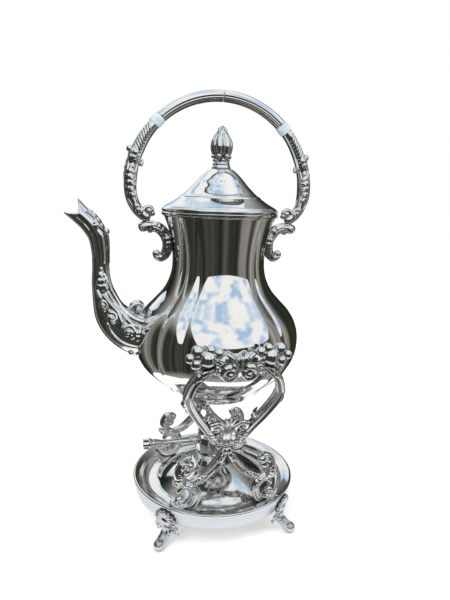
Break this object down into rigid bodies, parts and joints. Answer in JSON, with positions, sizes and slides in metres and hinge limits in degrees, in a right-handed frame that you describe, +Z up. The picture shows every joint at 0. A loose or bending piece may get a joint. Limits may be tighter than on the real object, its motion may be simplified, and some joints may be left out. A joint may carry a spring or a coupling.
{
  "type": "tilting coffee pot on a warming stand",
  "caption": "Silver-plated pot with a hoop handle, hinged lid and scroll spout, tilting between lyre frames on a footed tray with a spirit burner.",
  "frame": {"origin": "on the table, under the middle of the whole object's outline; the pot's own axis stands 25.9 mm towards +X", "axes": "+Z up, spout towards -X, front frame towards -Y"},
  "size_m": [0.2322, 0.1888, 0.4158],
  "materials": {
    "polished_silver": "mirror-polished silver plate with fine wear",
    "cast_silver": "cast and plated ornament with darkened recesses",
    "tray_silver": "polished dish with a satin outer wall",
    "insulator": "pale heat-stop bands, slightly glossy",
    "screw_brass": "plain turned brass",
    "wick": "woven cotton"
  },
  "bodies": {
    "stand": {"tray": "tray_silver", "front_left_foot": "cast_silver", "front_right_foot": "cast_silver", "back_left_foot": "cast_silver", "back_right_foot": "cast_silver", "frame_screws": "screw_brass", "front_left_rail": "cast_silver", "front_left_leg": "cast_silver", "front_left_foot_scroll": "cast_silver", "front_right_rail": "cast_silver", "front_right_leg": "cast_silver", "front_right_foot_scroll": "cast_silver", "front_crest": "cast_silver", "front_palmette": "cast_silver", "front_grapes": "cast_silver", "front_pivot_boss": "cast_silver", "front_saddle": "cast_silver", "back_left_rail": "cast_silver", "back_left_leg": "cast_silver", "back_left_foot_scroll": "cast_silver", "back_right_rail": "cast_silver", "back_right_leg": "cast_silver", "back_right_foot_scroll": "cast_silver", "back_crest": "cast_silver", "back_palmette": "cast_silver", "back_grapes": "cast_silver", "back_pivot_boss": "cast_silver", "back_saddle": "cast_silver"},
    "pot": {"pot_body": "polished_silver", "pot_neck": "polished_silver", "pot_bottom": "polished_silver", "pot_rim": "polished_silver", "spout": "cast_silver", "left_grip": "polished_silver", "right_grip": "polished_silver", "left_insulator": "insulator", "right_insulator": "insulator", "insulator_pins": "screw_brass", "left_arm": "cast_silver", "right_arm": "cast_silver", "left_bracket": "cast_silver", "right_bracket": "cast_silver", "body_hinge_leaf": "polished_silver", "lid_hinge_pin": "polished_silver", "pivot_lug_front": "cast_silver", "pivot_lug_back": "cast_silver", "rest_lug_front": "cast_silver", "rest_lug_back": "cast_silver"},
    "lid": {"lid": "polished_silver", "lid_bezel": "polished_silver", "lid_hinge_leaf": "polished_silver", "finial": "cast_silver", "finial_stud": "screw_brass"},
    "burner": {"burner_cup": "polished_silver", "burner_cap": "polished_silver", "wick": "wick", "burner_handle": "polished_silver", "snuffer_bracket": "polished_silver", "snuffer_pin": "polished_silver"},
    "snuffer": {"snuffer_cap": "polished_silver"}
  },
  "joints": [
    {"name": "pot_tilt", "type": "hinge", "parent": "stand", "child": "pot", "pos_m": [-0.0061, 0, 0.188], "axis": [0, -1, 0], "range_deg": [0, 50]},
    {"name": "lid_hinge", "type": "hinge", "parent": "pot", "child": "lid", "pos_m": [0.0259, 0.0588, 0.3064], "axis": [-1, 0, 0], "range_deg": [0, 105]},
    {"name": "burner_slide", "type": "slide", "parent": "stand", "child": "burner", "axis": [-1, 0, 0], "range_m": [0, 0.115]},
    {"name": "snuffer_hinge", "type": "hinge", "parent": "burner", "child": "snuffer", "pos_m": [0.0389, 0, 0.0864], "axis": [0, 1, 0], "range_deg": [0, 110]}
  ]
}
